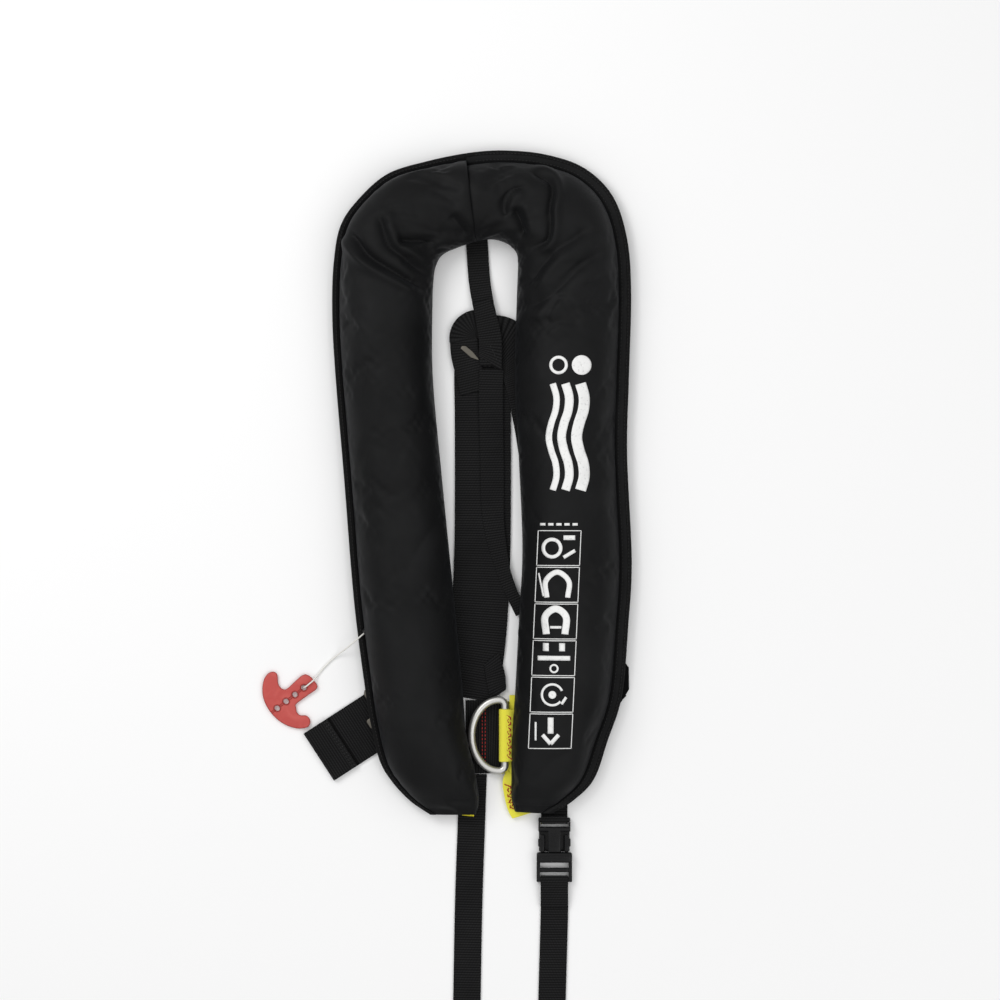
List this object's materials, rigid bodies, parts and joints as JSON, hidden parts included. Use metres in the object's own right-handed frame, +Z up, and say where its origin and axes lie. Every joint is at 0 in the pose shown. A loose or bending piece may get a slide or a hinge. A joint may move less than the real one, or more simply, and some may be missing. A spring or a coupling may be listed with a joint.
{
  "type": "inflatable life jacket",
  "caption": "Horseshoe inflatable life jacket packed in a cloth cover, laid on its back, with waist belt, tether ring, crotch strap, side-release buckle and pull handle.",
  "frame": {"origin": "underside of the padded back panel at the middle of the collar", "axes": "+Z up from the surface the jacket lies on, +Y towards the top of the collar, +X towards the lobe with the tether ring"},
  "size_m": [0.3213, 0.8115, 0.0484],
  "materials": {
    "cover_cloth": "coated nylon twill with a soft sheen",
    "panel_cloth": "matt padded nylon",
    "webbing": "ribbed polyester webbing",
    "closure_tape": "hook and loop tape",
    "bladder_cloth": "coated yellow nylon",
    "becket_webbing": "yellow webbing with red stitches",
    "stainless": "polished stainless wire",
    "gas_steel": "plated cylinder",
    "black_plastic": "moulded acetal",
    "red_plastic": "moulded, satin",
    "green_plastic": "moulded, satin",
    "white_plastic": "moulded, satin",
    "cord_braid": "thin braided cord"
  },
  "bodies": {
    "jacket": {"cover_front_left": "cover_cloth", "cover_front_right": "cover_cloth", "back_panel": "panel_cloth", "edge_binding_left": "webbing", "edge_binding_right": "webbing", "back_strap": "webbing", "strap_tail": "webbing", "waist_belt_left": "webbing", "waist_belt_right": "webbing", "ring_webbing": "webbing", "belt_tail": "webbing", "crotch_tab": "webbing", "crotch_strap_back": "webbing", "loop_strip_left": "closure_tape", "loop_strip_right": "closure_tape", "hook_strip_left": "closure_tape", "hook_strip_right": "closure_tape", "bladder": "bladder_cloth", "lifting_becket": "becket_webbing", "belt_hook": "stainless", "lever_pin": "stainless", "manifold_valve": "stainless", "manifold_nut": "stainless", "co2_cylinder": "gas_steel", "inflator_body": "black_plastic", "cord_grommet": "black_plastic", "cartridge_cap": "black_plastic", "oral_tube": "black_plastic", "buckle_socket": "black_plastic", "indicator_clip": "green_plastic", "sensing_cartridge": "white_plastic", "oral_valve": "white_plastic", "whistle": "white_plastic", "whistle_lanyard": "cord_braid"},
    "pull_toggle": {"pull_cord": "cord_braid", "pull_handle": "red_plastic"},
    "lever": {"inflator_lever": "red_plastic"},
    "tether_ring": {"dee_ring": "stainless"},
    "mouth_cap": {"oral_cap": "red_plastic"},
    "plug": {"buckle_plug": "black_plastic", "crotch_strap_front": "webbing"},
    "latch_left": {"latch_arm_left": "black_plastic"},
    "latch_right": {"latch_arm_right": "black_plastic"}
  },
  "joints": [
    {"name": "cord_pull", "type": "slide", "parent": "jacket", "child": "pull_toggle", "axis": [-0.76, -0.65, 0], "range_m": [0, 0.025]},
    {"name": "lever_turn", "type": "hinge", "parent": "jacket", "child": "lever", "pos_m": [-0.06485, -0.36913, 0.014], "axis": [0, 0, 1], "range_deg": [0, 72]},
    {"name": "ring_swing", "type": "hinge", "parent": "jacket", "child": "tether_ring", "pos_m": [0.0218, -0.468, 0.00755], "axis": [0, 1, 0], "range_deg": [0, 90]},
    {"name": "cap_pull", "type": "slide", "parent": "jacket", "child": "mouth_cap", "axis": [0, 1, 0], "range_m": [0, 0.012]},
    {"name": "plug_release", "type": "slide", "parent": "jacket", "child": "plug", "axis": [0, -1, 0], "range_m": [0, 0.02]},
    {"name": "latch_left_flex", "type": "hinge", "parent": "plug", "child": "latch_left", "pos_m": [0.0544, -0.57, 0.0045], "axis": [0, 0, -1], "range_deg": [0, 7], "stiffness_Nm_per_rad": 0.05},
    {"name": "latch_right_flex", "type": "hinge", "parent": "plug", "child": "latch_right", "pos_m": [0.0756, -0.57, 0.0045], "axis": [0, 0, 1], "range_deg": [0, 7], "stiffness_Nm_per_rad": 0.05}
  ],
  "couplings": [
    {"joint": "lever_turn", "follows": "cord_pull", "rad_per_m": 50}
  ]
}
